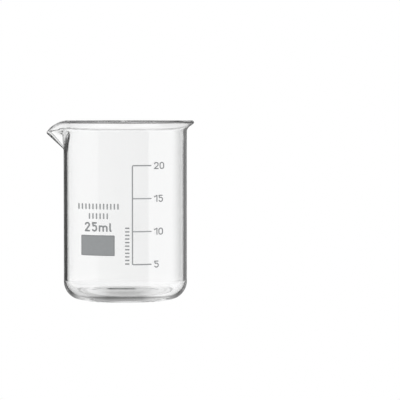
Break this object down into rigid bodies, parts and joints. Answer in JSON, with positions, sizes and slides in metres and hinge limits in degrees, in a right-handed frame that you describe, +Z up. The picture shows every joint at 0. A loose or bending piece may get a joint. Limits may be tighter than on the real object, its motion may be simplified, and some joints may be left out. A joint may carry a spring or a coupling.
{
  "type": "laboratory beaker",
  "caption": "Small low-form glass laboratory beaker with a flared rim, a pouring spout, a graduated scale with numerals, and a grey marking spot.",
  "frame": {"origin": "on the beaker's axis, in the plane of the foot ring that rests on the bench", "axes": "+Z up along the beaker's axis; the spout points to -X; the printed side faces -Y"},
  "size_m": [0.0411, 0.0384, 0.05],
  "materials": {
    "borosilicate_glass": "clear, fire-polished borosilicate glass",
    "grey_enamel": "matt grey ceramic enamel fired onto the glass"
  },
  "bodies": {
    "root": {"glass_body": "borosilicate_glass", "marking_spot": "grey_enamel", "capacity_mark": "grey_enamel", "graduation_scale": "grey_enamel", "note_lines": "grey_enamel", "scale_note": "grey_enamel", "numeral_5": "grey_enamel", "numeral_10": "grey_enamel", "numeral_15": "grey_enamel", "numeral_20": "grey_enamel"}
  },
  "joints": []
}
